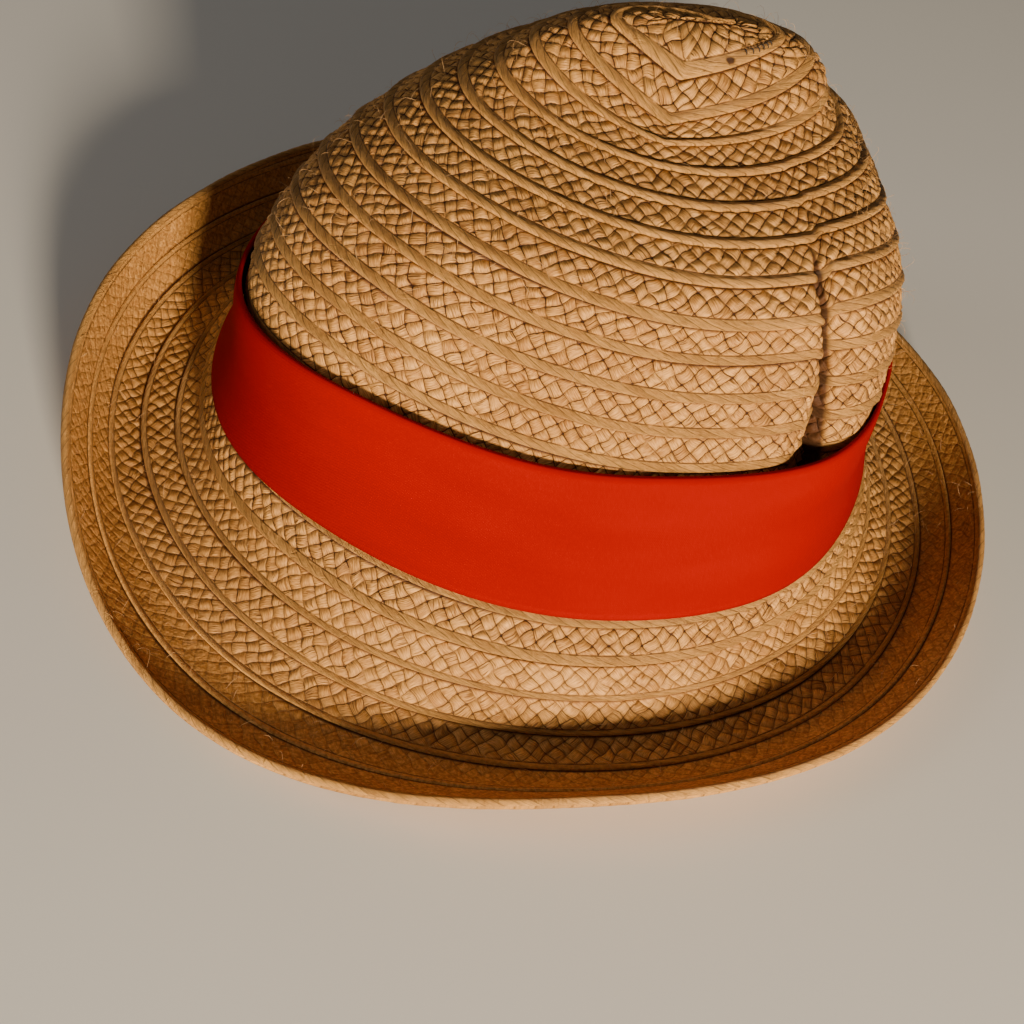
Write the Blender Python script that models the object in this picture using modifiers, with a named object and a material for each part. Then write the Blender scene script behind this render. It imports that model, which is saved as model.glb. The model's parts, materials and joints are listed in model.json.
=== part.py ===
"""Straw fedora: a sewn straw crown, a turned-up straw brim and a red cloth band.

Metres, +Z up. The front of the hat is towards -Y, the back towards +Y and the wearer's right side
towards -X. The brim's trough rests on z = 0 and the middle of the outline is on x = y = 0.

The crown is a loft through rounded oval sections from a short ridge at the top down to the break,
the line where it turns into the brim. Soft folds and two pinches change the distance of its
surface from the middle of each section. The brim goes on from the break, falls to a trough and
rises again to the rim. Each is an open surface made thick by a Solidify modifier.
"""
import math

import bmesh
import bpy
import numpy as np

# Crown, outside sizes at the break and height of the top ridge above it
CROWN_LENGTH = 0.190
CROWN_WIDTH = 0.187
CROWN_HEIGHT = 0.1145
CROWN_WALL = 0.0022

# Brim, measured outwards and upwards from the break and the trough
BRIM_WALL = 0.0022
BREAK_RISE = 0.0135
TROUGH_RUN = 0.0195
TROUGH_FLAT = 0.0030
RIM_RUN = 0.0190
RIM_RISE = 0.0120
SEAM_GAP = 0.0003

# Cloth band. Its top stands off the crown most towards one azimuth, and the higher the falloff the
# shorter the stretch that does.
BAND_HEIGHT = 0.038
BAND_THICKNESS = 0.0012
BAND_FOOT = 0.0133
BAND_CLEARANCE = 0.0005
BAND_STAND_OFF = 0.0030
BAND_LEAST_SHARE = 0.1
BAND_OPEN_AZIMUTH = 138.0
BAND_FALLOFF = 7.0

# Pinches in the front of the crown. Sharpness shapes the valley across, and bluntness its ends.
PINCH_DEPTH = 0.0060
PINCH_WIDTH = 0.0120
PINCH_SHARPNESS = 1.5
PINCH_BLUNTNESS = 0.5
PINCH_LIMIT = 0.5

# How late down the wall the crown's foot takes up the waves of the break
FOOT_LATENESS = 3.0

# How finely the surfaces are cut up
COLUMNS = 72
CROWN_RINGS = 20
BAND_RINGS = 5
FALL_CELLS = 5
FLAT_CELLS = 2
RISE_CELLS = 5
FINE_STEPS = 200
FOOT_SHARE = 0.01
WELD_DISTANCE = 0.00001
SMALLEST = 1e-9

# Sections of the crown from the ridge down to the break. down: share of the way down the wall.
# height: share of CROWN_HEIGHT above the break. length: share of the half length. right and left:
# reach to the wearer's right and left of the section's middle, shares of the half width. ahead:
# shift to the front, share of the half length. aside: shift to the left, share of the half width.
SECTION_COLUMNS = ("down", "height", "length", "right", "left", "ahead", "aside")
CROWN_SECTIONS = (
    (0.00, 1.000, 0.12, 0.00, 0.00, 0.22, 0.21),
    (0.04, 0.982, 0.24, 0.08, 0.09, 0.22, 0.21),
    (0.10, 0.935, 0.36, 0.16, 0.18, 0.22, 0.21),
    (0.22, 0.860, 0.45, 0.26, 0.33, 0.20, 0.18),
    (0.36, 0.765, 0.64, 0.62, 0.50, 0.19, 0.12),
    (0.52, 0.625, 0.81, 0.64, 0.68, 0.15, 0.02),
    (0.68, 0.400, 0.90, 0.72, 0.78, 0.11, 0.01),
    (0.84, 0.230, 0.92, 0.85, 0.86, 0.07, 0.03),
    (1.00, 0.000, 1.00, 1.00, 1.00, 0.00, 0.00),
)

# Soft folds by direction. azimuth: degrees from +X. swell: how much farther out the wall stands
# half way down, as a share of its distance from the middle. Dents are below zero.
FOLD_COLUMNS = ("azimuth", "swell")
CROWN_FOLDS = (
    (0.0, 0.02),
    (30.0, 0.00),
    (60.0, 0.03),
    (90.0, 0.12),
    (120.0, 0.10),
    (150.0, -0.03),
    (180.0, -0.05),
    (210.0, 0.05),
    (240.0, -0.07),
    (270.0, -0.15),
    (300.0, -0.06),
    (330.0, 0.03),
)

# Pinches on both sides of the front. azimuth in degrees from +X, start and end: shares of the way
# down the wall, depth: share of PINCH_DEPTH, width: share of PINCH_WIDTH.
PINCH_COLUMNS = ("azimuth", "start", "end", "depth", "width")
CROWN_PINCHES = (
    (210.0, 0.34, 0.94, 1.00, 0.70),
    (330.0, 0.34, 0.94, 0.85, 1.00),
)

# The brim by direction, azimuth in degrees from +X. break_up and rim_up are the heights of the
# break and the rim over the trough, shares of BREAK_RISE and RIM_RISE. out and far are the ways
# from the break to the trough and on to the rim, shares of TROUGH_RUN and RIM_RUN. stop is the
# slope at the rim in degrees. At the break the brim leaves the crown at the crown's own slope.
BRIM_COLUMNS = ("azimuth", "break_up", "out", "far", "rim_up", "stop")
BRIM_SECTIONS = (
    (0.0, 0.88, 1.04, 1.03, 0.80, 58.0),
    (45.0, 0.82, 0.78, 0.82, 1.50, 60.0),
    (90.0, 0.42, 0.88, 0.92, 1.68, 50.0),
    (135.0, 1.24, 1.36, 0.98, 0.35, 36.0),
    (180.0, 1.22, 0.94, 0.85, 0.92, 48.0),
    (225.0, 0.92, 1.10, 0.90, 0.84, 28.0),
    (270.0, 0.96, 0.92, 0.90, 1.08, 57.0),
    (315.0, 1.02, 0.98, 0.98, 0.30, 52.0),
)

STRAW = (0.62, 0.40, 0.20, 1.0)
STRAW_ROUGHNESS = 0.75
CLOTH = (0.72, 0.02, 0.01, 1.0)
CLOTH_ROUGHNESS = 0.9


def table_column(rows, names, name):
    """One named column of a table as an array."""
    return np.array([row[names.index(name)] for row in rows], float)


def spline(places, values, at):
    """A smooth curve through values at rising places, with the slopes of a cardinal spline."""
    slopes = np.gradient(values, places)
    cell = np.clip(np.searchsorted(places, at, side="right") - 1, 0, len(places) - 2)
    span = places[cell + 1] - places[cell]
    part = (at - places[cell]) / span
    return hermite(values[cell], values[cell + 1], slopes[cell] * span, slopes[cell + 1] * span, part)


def hermite(first, last, leave, arrive, part):
    """A cubic from first to last, leaving and arriving at the given rates."""
    rest = 1.0 - part
    return (first * (1.0 + 2.0 * part) * rest ** 2 + leave * part * rest ** 2
            + last * part ** 2 * (3.0 - 2.0 * part) - arrive * rest * part ** 2)


def by_direction(rows, names, name, turn):
    """A column of a table by direction, smooth all the way round, at the azimuths turn."""
    azimuths = np.radians(table_column(rows, names, "azimuth"))
    values = table_column(rows, names, name)
    full = 2.0 * math.pi
    places = np.concatenate([azimuths[-2:] - full, azimuths, azimuths[:2] + full])
    looped = np.concatenate([values[-2:], values, values[:2]])
    return spline(places, looped, np.mod(turn, full))


def brim_value(name, turn):
    """A column of the brim's table at the azimuths turn."""
    return by_direction(BRIM_SECTIONS, BRIM_COLUMNS, name, turn)


def pinch_depth(down, turn):
    """How far the pinches press the surface in, at a share down the wall and an azimuth."""
    total = 0.0
    for row in CROWN_PINCHES:
        pinch = dict(zip(PINCH_COLUMNS, row))
        away = np.angle(np.exp(1j * (turn - math.radians(pinch["azimuth"]))))
        across = np.abs(away) * CROWN_WIDTH / 2.0 / (pinch["width"] * PINCH_WIDTH)
        along = np.clip((down - pinch["start"]) / (pinch["end"] - pinch["start"]), 0.0, 1.0)
        valley = np.exp(-across ** PINCH_SHARPNESS) * np.sin(math.pi * along) ** PINCH_BLUNTNESS
        total = total + pinch["depth"] * PINCH_DEPTH * valley
    return total


def crown_surface(down, turn):
    """Points of the crown's outer face. down runs from 0 at the ridge to 1 at the break, and turn
    is the azimuth. Each section is an oval whose distance from its middle swells with the folds
    and shrinks at the pinches."""
    places = table_column(CROWN_SECTIONS, SECTION_COLUMNS, "down")
    reading = {name: spline(places, table_column(CROWN_SECTIONS, SECTION_COLUMNS, name), down)
               for name in SECTION_COLUMNS[1:]}
    half_length = CROWN_LENGTH / 2.0 * reading["length"]
    half_width = CROWN_WIDTH / 2.0 * np.where(np.cos(turn) < 0.0, reading["right"], reading["left"])
    swell = 1.0 + 4.0 * down * (1.0 - down) * by_direction(CROWN_FOLDS, FOLD_COLUMNS, "swell", turn)
    across = half_width * np.cos(turn) * swell
    along = half_length * np.sin(turn) * swell
    distance = np.maximum(np.hypot(across, along), SMALLEST)
    shrink = 1.0 - np.minimum(pinch_depth(down, turn) / distance, PINCH_LIMIT)
    x = CROWN_WIDTH / 2.0 * reading["aside"] + across * shrink
    y = -CROWN_LENGTH / 2.0 * reading["ahead"] + along * shrink
    break_height = BRIM_WALL + BREAK_RISE * brim_value("break_up", turn)
    late = down ** FOOT_LATENESS
    floor = (BRIM_WALL + BREAK_RISE) * (1.0 - late) + break_height * late
    z = CROWN_HEIGHT * reading["height"] + floor
    return np.stack([x, y, z], axis=-1)


def wall_runs(turn):
    """Shares down and lengths run along the crown's wall from the ridge, for each azimuth."""
    downs = np.linspace(0.0, 1.0, FINE_STEPS + 1)
    points = crown_surface(downs[:, None], turn[None, :])
    steps = np.linalg.norm(np.diff(points, axis=0), axis=2)
    runs = np.vstack([np.zeros(len(turn)), np.cumsum(steps, axis=0)])
    return downs, runs


def shares_down(runs_wanted, turn):
    """The shares down the wall at which each azimuth's wall has the wanted lengths."""
    downs, runs = wall_runs(turn)
    return np.stack([np.interp(runs_wanted[:, j], runs[:, j], downs) for j in range(len(turn))], axis=1)


def plan_normals(ring):
    """Unit vectors that point outwards in plan from a closed ring of points."""
    tangent = np.roll(ring, -1, axis=0) - np.roll(ring, 1, axis=0)
    normal = np.stack([tangent[:, 1], -tangent[:, 0], np.zeros(len(ring))], axis=1)
    return normal / np.linalg.norm(normal, axis=1)[:, None]


def foot_slopes(turn, normal):
    """The angle under the level at which the crown's wall reaches the break, for each azimuth."""
    above = crown_surface(np.full_like(turn, 1.0 - FOOT_SHARE), turn)
    step = crown_surface(np.ones_like(turn), turn) - above
    return np.arctan2(-step[:, 2], np.maximum((step * normal).sum(axis=1), SMALLEST))


def brim_profile(turn, start):
    """Ways out and heights of the brim's upper face, from the break to the rim, for each azimuth.
    start is the slope at which it leaves the break. It falls to the trough, runs level for
    TROUGH_FLAT and climbs to the rim."""
    rise = BREAK_RISE * brim_value("break_up", turn)
    trough = TROUGH_RUN * brim_value("out", turn)
    rim_out = trough + RIM_RUN * brim_value("far", turn)
    rim_up = RIM_RISE * brim_value("rim_up", turn)
    stop = np.radians(brim_value("stop", turn))
    inner = trough - TROUGH_FLAT / 2.0
    outer = trough + TROUGH_FLAT / 2.0
    fall = np.hypot(inner, rise)
    climb = np.hypot(rim_out - outer, rim_up)
    first = SEAM_GAP / fall
    parts = first + (1.0 - first) * np.linspace(0.0, 1.0, FALL_CELLS + 1)[:, None]
    fall_out = hermite(0.0, inner, fall * np.cos(start), fall, parts)
    fall_up = hermite(rise, 0.0, -fall * np.sin(start), 0.0, parts)
    flats = np.linspace(0.0, 1.0, FLAT_CELLS + 1)[1:, None]
    flat_out = inner + (outer - inner) * flats
    steps = np.linspace(0.0, 1.0, RISE_CELLS + 1)[1:, None]
    climb_out = hermite(outer, rim_out, climb, climb * np.cos(stop), steps)
    climb_up = hermite(0.0, rim_up, 0.0, climb * np.sin(stop), steps)
    out = np.vstack([fall_out, flat_out, climb_out])
    up = np.vstack([fall_up, np.zeros_like(flat_out), climb_up])
    return out, up + BRIM_WALL


def crown_grid(turn):
    """Rings of the crown's outer face, evenly spaced along its wall."""
    downs, runs = wall_runs(turn)
    shares = np.linspace(0.0, 1.0, CROWN_RINGS + 1)
    wanted = shares[:, None] * runs[-1][None, :]
    return crown_surface(shares_down(wanted, turn), turn[None, :])


def brim_grid(turn):
    """Rings of the brim's upper face from the break out to the rim."""
    foot = crown_surface(np.ones_like(turn), turn)
    normal = plan_normals(foot)
    out, up = brim_profile(turn, foot_slopes(turn, normal))
    points = foot[None, :, :] + out[:, :, None] * normal[None, :, :]
    points[:, :, 2] = up
    return points


def band_grid(turn):
    """Rings of the band's inner face. It leans on the crown at its foot and stands off at its top,
    most towards BAND_OPEN_AZIMUTH."""
    downs, runs = wall_runs(turn)
    ups = BAND_FOOT + BAND_HEIGHT * np.linspace(0.0, 1.0, BAND_RINGS)
    wanted = runs[-1][None, :] - ups[:, None]
    shares = shares_down(wanted, turn)
    points = crown_surface(shares, turn[None, :])
    part = np.linspace(0.0, 1.0, BAND_RINGS)[:, None]
    facing = (1.0 + np.cos(turn - math.radians(BAND_OPEN_AZIMUTH))[None, :]) / 2.0
    share = BAND_LEAST_SHARE + (1.0 - BAND_LEAST_SHARE) * facing ** BAND_FALLOFF
    off = BAND_CLEARANCE + BAND_STAND_OFF * part * share
    pressed = pinch_depth(shares, turn[None, :])
    normals = np.stack([plan_normals(ring) for ring in points])
    return points + (off + pressed)[:, :, None] * normals


def loft(name, grid, collection, close_top=False):
    """An object whose faces join the rings of a grid, outward faces first to last ring downwards."""
    rings, columns = grid.shape[:2]
    vertices = grid.reshape(-1, 3).tolist()
    faces = []
    for i in range(rings - 1):
        upper = i * columns
        lower = upper + columns
        for j in range(columns):
            right = (j + 1) % columns
            faces.append((upper + j, lower + j, lower + right, upper + right))
    mesh = bpy.data.meshes.new(name)
    mesh.from_pydata(vertices, [], faces)
    if close_top:
        work = bmesh.new()
        work.from_mesh(mesh)
        bmesh.ops.remove_doubles(work, verts=work.verts, dist=WELD_DISTANCE)
        work.to_mesh(mesh)
        work.free()
    mesh.update()
    mesh.shade_smooth()
    piece = bpy.data.objects.new(name, mesh)
    collection.objects.link(piece)
    return piece


def thicken(piece, wall, side, even=True):
    """A Solidify modifier. side is -1 to keep the surface as the outer face, 1 as the inner one."""
    solid = piece.modifiers.new("Wall", "SOLIDIFY")
    solid.thickness = wall
    solid.offset = side
    solid.use_even_offset = even
    solid.use_quality_normals = True


def matt(name, colour, roughness):
    """A plain matt material."""
    material = bpy.data.materials.new(name)
    material.use_nodes = True
    shader = material.node_tree.nodes["Principled BSDF"]
    shader.inputs["Base Color"].default_value = colour
    shader.inputs["Roughness"].default_value = roughness
    shader.inputs["Metallic"].default_value = 0.0
    material.diffuse_color = colour
    return material


def middle_of_outline(piece):
    """The middle of an object's box in plan and its lowest height, with its modifiers."""
    evaluated = piece.evaluated_get(bpy.context.evaluated_depsgraph_get())
    corners = np.array([piece.matrix_world @ vertex.co for vertex in evaluated.to_mesh().vertices])
    low, high = corners.min(axis=0), corners.max(axis=0)
    evaluated.to_mesh_clear()
    return (low[0] + high[0]) / 2.0, (low[1] + high[1]) / 2.0, low[2]


def main():
    for old in list(bpy.data.objects):
        bpy.data.objects.remove(old, do_unlink=True)
    collection = bpy.data.collections.new("straw_fedora")
    bpy.context.scene.collection.children.link(collection)
    turn = 2.0 * math.pi * np.arange(COLUMNS) / COLUMNS

    crown = loft("crown", crown_grid(turn), collection, close_top=True)
    thicken(crown, CROWN_WALL, -1.0, even=False)
    crown.data.materials.append(matt("crown_straw", STRAW, STRAW_ROUGHNESS))

    brim = loft("brim", brim_grid(turn), collection)
    thicken(brim, BRIM_WALL, -1.0)
    brim.data.materials.append(matt("brim_straw", STRAW, STRAW_ROUGHNESS))

    band = loft("hatband", band_grid(turn)[::-1], collection)
    thicken(band, BAND_THICKNESS, 1.0)
    band.data.materials.append(matt("band_cloth", CLOTH, CLOTH_ROUGHNESS))

    hat = bpy.data.objects.new("hat_centre", None)
    collection.objects.link(hat)
    middle_x, middle_y, lowest = middle_of_outline(brim)
    hat.location = (-middle_x, -middle_y, -lowest)
    for piece in (crown, brim, band):
        piece.parent = hat


main()
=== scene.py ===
"""A straw fedora dressed for its render: sewn braid, corded edge, cloth band and loose fibres.

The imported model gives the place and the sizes. The crown and the brim are one long plait each,
wound in a spiral over the form of the hat and lapped like shingles, with a thicker cord along the
outer edge of every row. All lengths are metres and all angles degrees unless a name says more.
"""
import json
import math

import bpy
import numpy as np
from mathutils import Matrix, Vector

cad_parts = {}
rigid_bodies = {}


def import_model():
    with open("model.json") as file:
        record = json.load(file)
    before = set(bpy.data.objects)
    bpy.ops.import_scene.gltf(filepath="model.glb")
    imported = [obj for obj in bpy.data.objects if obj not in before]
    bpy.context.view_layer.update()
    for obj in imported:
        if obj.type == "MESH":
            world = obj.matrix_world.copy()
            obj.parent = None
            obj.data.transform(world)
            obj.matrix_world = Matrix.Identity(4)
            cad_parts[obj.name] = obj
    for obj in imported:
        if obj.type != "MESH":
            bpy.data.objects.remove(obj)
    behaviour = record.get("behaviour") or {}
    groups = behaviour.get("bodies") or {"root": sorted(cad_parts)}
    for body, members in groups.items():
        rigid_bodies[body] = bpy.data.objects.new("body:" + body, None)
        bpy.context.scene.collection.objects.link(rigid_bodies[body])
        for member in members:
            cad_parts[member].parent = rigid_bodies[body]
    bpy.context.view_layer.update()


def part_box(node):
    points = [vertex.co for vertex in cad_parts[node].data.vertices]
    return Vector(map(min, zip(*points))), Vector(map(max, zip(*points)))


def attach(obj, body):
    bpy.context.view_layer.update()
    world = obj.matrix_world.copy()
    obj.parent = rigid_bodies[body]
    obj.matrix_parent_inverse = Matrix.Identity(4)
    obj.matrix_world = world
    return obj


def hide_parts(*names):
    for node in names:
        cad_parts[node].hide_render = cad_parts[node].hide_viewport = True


bl_info = {
    "name": "Straw Fedora",
    "version": (1, 0, 0),
    "blender": (4, 5, 0),
    "location": "View3D > Sidebar > Straw Fedora",
    "description": "Winds, laps and colours the braid of a straw fedora and ties on its cloth band",
    "category": "Add Mesh",
}

for old in list(bpy.data.objects):
    bpy.data.objects.remove(old, do_unlink=True)
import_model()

MM = 0.001
TURN = 2.0 * math.pi
SEED = 11

# Form of the hat, as the solids have it
CROWN_LENGTH = 0.190
CROWN_WIDTH = 0.187
CROWN_HEIGHT = 0.1145
WALL = 0.0022
BREAK_RISE = 0.0135
TROUGH_RUN = 0.0195
TROUGH_FLAT = 0.0030
RIM_RUN = 0.0190
RIM_RISE = 0.0120
BAND_HEIGHT = 0.038
BAND_FOOT = 0.0133
BAND_CLEARANCE = 0.0005
BAND_STAND_OFF = 0.0030
BAND_THICKNESS = 0.0012
BAND_LEAST_SHARE = 0.1
BAND_OPEN_AZIMUTH = 138.0
BAND_FALLOFF = 7.0
BAND_CREASE = 0.00035
PINCH_DEPTH = 0.0060
PINCH_WIDTH = 0.0120
PINCH_SHARPNESS = 1.5
PINCH_BLUNTNESS = 0.5
PINCH_LIMIT = 0.5
FOOT_LATENESS = 3.0
FOOT_SHARE = 0.01
SMALLEST = 1e-9

SECTION_COLUMNS = ("down", "height", "length", "right", "left", "ahead", "aside")
CROWN_SECTIONS = (
    (0.00, 1.000, 0.12, 0.00, 0.00, 0.22, 0.21),
    (0.04, 0.982, 0.24, 0.08, 0.09, 0.22, 0.21),
    (0.10, 0.935, 0.36, 0.16, 0.18, 0.22, 0.21),
    (0.22, 0.860, 0.45, 0.26, 0.33, 0.20, 0.18),
    (0.36, 0.765, 0.64, 0.62, 0.50, 0.19, 0.12),
    (0.52, 0.625, 0.81, 0.64, 0.68, 0.15, 0.02),
    (0.68, 0.400, 0.90, 0.72, 0.78, 0.11, 0.01),
    (0.84, 0.230, 0.92, 0.85, 0.86, 0.07, 0.03),
    (1.00, 0.000, 1.00, 1.00, 1.00, 0.00, 0.00),
)
FOLD_COLUMNS = ("azimuth", "swell")
CROWN_FOLDS = (
    (0.0, 0.02),
    (30.0, 0.00),
    (60.0, 0.03),
    (90.0, 0.12),
    (120.0, 0.10),
    (150.0, -0.03),
    (180.0, -0.05),
    (210.0, 0.05),
    (240.0, -0.07),
    (270.0, -0.15),
    (300.0, -0.06),
    (330.0, 0.03),
)
PINCH_COLUMNS = ("azimuth", "start", "end", "depth", "width")
CROWN_PINCHES = (
    (210.0, 0.34, 0.94, 1.00, 0.70),
    (330.0, 0.34, 0.94, 0.85, 1.00),
)
BRIM_COLUMNS = ("azimuth", "break_up", "out", "far", "rim_up", "stop")
BRIM_SECTIONS = (
    (0.0, 0.88, 1.04, 1.03, 0.80, 58.0),
    (45.0, 0.82, 0.78, 0.82, 1.50, 60.0),
    (90.0, 0.42, 0.88, 0.92, 1.68, 50.0),
    (135.0, 1.24, 1.36, 0.98, 0.35, 36.0),
    (180.0, 1.22, 0.94, 0.85, 0.92, 48.0),
    (225.0, 0.92, 1.10, 0.90, 0.84, 28.0),
    (270.0, 0.96, 0.92, 0.90, 1.08, 57.0),
    (315.0, 1.02, 0.98, 0.98, 0.30, 52.0),
)

# Sharp valley at the bottom of the visible pinch: it runs down the wall at a slight slant
CREASE_AZIMUTHS = (206.5, 213.5)
CREASE_DOWN = (0.38, 0.76)
CREASE_END = (0.84, 0.95)
CREASE_DEPTH = 0.0075
CREASE_WIDTH = 0.0017
CREASE_BLUNTNESS = 1.4
CREASE_CELLS = 3.5
CREASE_REACH = 0.006

# The first rows run to a corner instead of round the top: azimuth of the corner, its half width
# in degrees and how far it reaches down past the row, for each row edge
CORNER_AZIMUTH = 170.0
CORNER_WIDTH = 24.0
CORNER_REACH = (0.0, 0.0062, 0.0074, 0.0030)

# Where the plait starts: its end is tucked into a small hole, and stitches hold the edge beside it
END_SHARE = 0.067
END_AZIMUTH = 194.0
END_HOLE = 0.0015
STITCH_SHARE = 0.060
END_DIP = 0.0009
STITCH_AZIMUTHS = (204.0, 228.0)
STITCHES = 6
STITCH_REACH = 0.0011
STITCH_RISE = 0.0022
THREAD = 0.00018

# Rows that sag over the visible side as far as the crease: row edge and how far it lies below its
# even place
SAG_AZIMUTH = 203.0
SAG_WIDTH = 45.0
SAG_STOP = 209.5
SAG_STOP_WIDTH = 1.8
ROW_SAGS = ((3.0, 0.0), (6.0, 0.0019), (7.0, 0.0022), (8.0, 0.0019), (9.0, 0.0006), (11.0, 0.0))

# Rows of braid
EVEN_ROWS = 12
LOW_ROWS = 5
BRIM_ROWS = 5
FIRST_ROW_EXTRA = 0.09
WINDING_AZIMUTH = 310.0
WINDING_SHARE = 1.0 / 3.0
TUCK = 0.12
WINDING_WANDER = 0.0004
CHIP_DRIFT = 0.10
ROW_OFFSET = 0.37
CORD_CHANGE = 0.18
CORD_CELLS = 7
ROW_END = 1.004
PAST_END_HEIGHT = -0.0002
TUCKED_HEIGHT = -0.0001
PRESS_SHARES = (0.46, 0.72)
BRIM_HEIGHT_SHARE = 0.72
PRESSED_CHIP = 0.85
PRESSED_CORD = 0.45
CORD_START = 0.73
BRIM_CORD_START = 0.84
CORD_TOP = 0.15
CORD_SLANT = 0.75
SHORT_WAVES = (0.35, 0.95)
WARP = 0.11
RIM_CORD = 0.0011
RIM_SIDES = 10
RIM_LIFT = 0.0004

# Fineness of the meshes
UPPER_SHARE = 0.50
GRID_TURNS = 1440
COLUMN_STEP = 20
GRID_RINGS = 400
CROWN_CELLS = 12
BRIM_CELLS = 10
UNDER_CELLS = 8
UNDER_STEP = 1.3
UNDER_CHIP = 0.5
BRIM_CHIP = 0.95
BRIM_RELIEF = 1.3
LINER_RINGS = 60
LINER_COLUMNS = 180
LINER_TOP = 0.03
LINER_CHIPS = (3.0, 0.6)
BAND_RINGS = 22
BAND_COLUMNS = 540

# Loose fibres, their lengths in millimetres, and the thread of the stitches
FIBRES_ON_CROWN = 0.6
FIBRE_LOWEST = 0.61
FIBRE_FOOT = 0.7
FIBRE_LENGTHS = (1.2, 4.5)
FIBRE_LIFTS = (0.15, 0.9)
FIBRE_RINGS = 5
FIBRE_SIDES = 3
FIBRE_BEND = 2.2
FIBRE_TAPER = 0.8
THREAD_RINGS = 9
THREAD_SIDES = 6

# Marks on the straw: where each begins to show and where it is full
FADES = {
    "chip_side": (0.86, 0.97),
    "chip_end": (0.88, 0.98),
    "line_kept": (0.22, 0.50),
    "pit": (0.58, 0.84),
    "pit_kept": (0.36, 0.56),
    "painted_dive_shade": (0.35, 1.0),
    "slit": (0.58, 0.68),
    "slit_chance": (0.45, 0.60),
    "groove": (0.030, 0.004),
    "groove_kept": (0.24, 0.52),
    "painted_tuck_shadow": (0.10, 0.01),
    "frayed": (0.52, 0.66),
    "rope": (0.80, 0.99),
    "rope_kept": (0.28, 0.56),
    "crease": (0.01, 0.14),
    "hole": (0.35, 0.75),
    "light": (-0.5, 1.0),
}

# How dark each mark is, from 0 to 1. Four are painted shade: where a strand dives under its
# neighbours, a painted shadow along each row's tucked edge under the cord above, inside the crease
# and inside the hole at the plait's end.
DARKNESS = {
    "painted_dive_shade": 0.34,
    "slit": 0.62,
    "frayed": 0.55,
    "rope": 0.70,
    "groove": 0.85,
    "painted_tuck_shadow": 0.95,
    "crease": 0.94,
    "hole": 0.96,
}

# Finishes: shares, and reliefs and threads in millimetres
CORD_EDGE = 0.02
STRAW_DIM = 0.62
STRAW_RELIEF = 0.55
CLOTH_DIM = 0.80
CLOTH_THREAD = 0.55
CLOTH_RELIEF = 0.25

# Stage
FLOOR_HALF = 3.0
LAMP_TARGET = (0.0, 0.0, 0.05)
KEY_LAMP = ((-1.372, -0.096, 0.310), 0.20, (1.0, 0.84, 0.62))
BACK_LAMP = ((-0.100, 1.300, 0.800), 0.60, (1.0, 0.92, 0.80))
FILL_COLOUR = (1.0, 0.97, 0.93, 1.0)

# The point over the middle of the hat that the camera is set from
TARGET_ASIDE = -0.0026
TARGET_HEIGHT = 0.064


def length_setting(name, description, default):
    """A setting in metres."""
    return bpy.props.FloatProperty(
        name=name, description=description, default=default, unit="LENGTH")


def number_setting(name, description, default):
    """A setting that is a plain number."""
    return bpy.props.FloatProperty(name=name, description=description, default=default)


def colour_setting(name, description, default):
    """A setting that is a colour."""
    return bpy.props.FloatVectorProperty(
        name=name, description=description, subtype="COLOR", size=3, default=default)


class HatSizes(bpy.types.PropertyGroup):
    """Sizes of the braid and of the loose fibres."""
    row: length_setting("Row", "Width of one sewn row on the crown", 0.010)
    chip: length_setting("Chip", "Length along the row that one crossing takes", 0.0045)
    chip_rise: length_setting("Chip rise", "How far a crossing of the plait swells", 0.00060)
    lap: length_setting("Lap", "How far a row's outer edge stands over the next row", 0.00075)
    cord: length_setting("Cord", "Height of the cord along the edge of a row", 0.00085)
    brim_cord: length_setting(
        "Brim cord", "Height of that cord on the brim, where it is pressed flat", 0.00055)
    step: length_setting("Step", "Length of one mesh cell along a row", 0.00078)
    fibres: bpy.props.IntProperty(
        name="Fibres", description="Number of loose fibres", default=1500)
    fibre: length_setting("Fibre", "Thickness of a loose fibre", 0.00011)


class HatColours(bpy.types.PropertyGroup):
    """Colours of the straw and the cloth."""
    straw: colour_setting("Straw", "Straw on the face of a chip", (0.62, 0.262, 0.060))
    # Pale straw: lighter chips, and the painted highlight along the cords at the row edges.
    pale: colour_setting("Pale straw", "Lighter chips and worn edges", (0.86, 0.44, 0.125))
    gap: colour_setting("Gap", "Dark gaps between the chips", (0.055, 0.014, 0.003))
    cloth: colour_setting("Cloth", "Cloth of the band", (0.31, 0.0, 0.0))


class HatStage(bpy.types.PropertyGroup):
    """Where the camera and the lamps stand."""
    elevation: number_setting("Elevation", "Camera above the horizon", 39.2)
    azimuth: number_setting(
        "Azimuth", "Direction that the camera looks in, from +X towards -Y", 16.8)
    pitch: number_setting("Pitch", "How far the view is tipped below the hat's middle", 8.77)
    roll: number_setting("Roll", "Turn of the camera about its view", 14.5)
    distance: length_setting("Distance", "From the camera to the hat's middle", 0.423)
    lens: number_setting("Lens", "Focal length in millimetres on a 36 mm sensor", 55.5)
    key: number_setting("Key", "Power of the warm lamp in watts", 44.0)
    back: number_setting("Back", "Power of the soft lamp behind the hat in watts", 3.0)
    fill: number_setting("Fill", "Strength of the light from all round", 0.08)


def table_column(rows, names, name):
    """One named column of a table as an array."""
    return np.array([row[names.index(name)] for row in rows], float)


def unit(vectors):
    """The vectors with length 1."""
    return vectors / np.maximum(np.linalg.norm(vectors, axis=-1, keepdims=True), SMALLEST)


def angles_round(count):
    """Evenly spaced angles once round."""
    return TURN * np.arange(count) / count


def hermite(first, last, leave, arrive, part):
    """A cubic from first to last, leaving and arriving at the given rates."""
    rest = 1.0 - part
    return (first * (1.0 + 2.0 * part) * rest ** 2 + leave * part * rest ** 2
            + last * part ** 2 * (3.0 - 2.0 * part) - arrive * rest * part ** 2)


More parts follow.
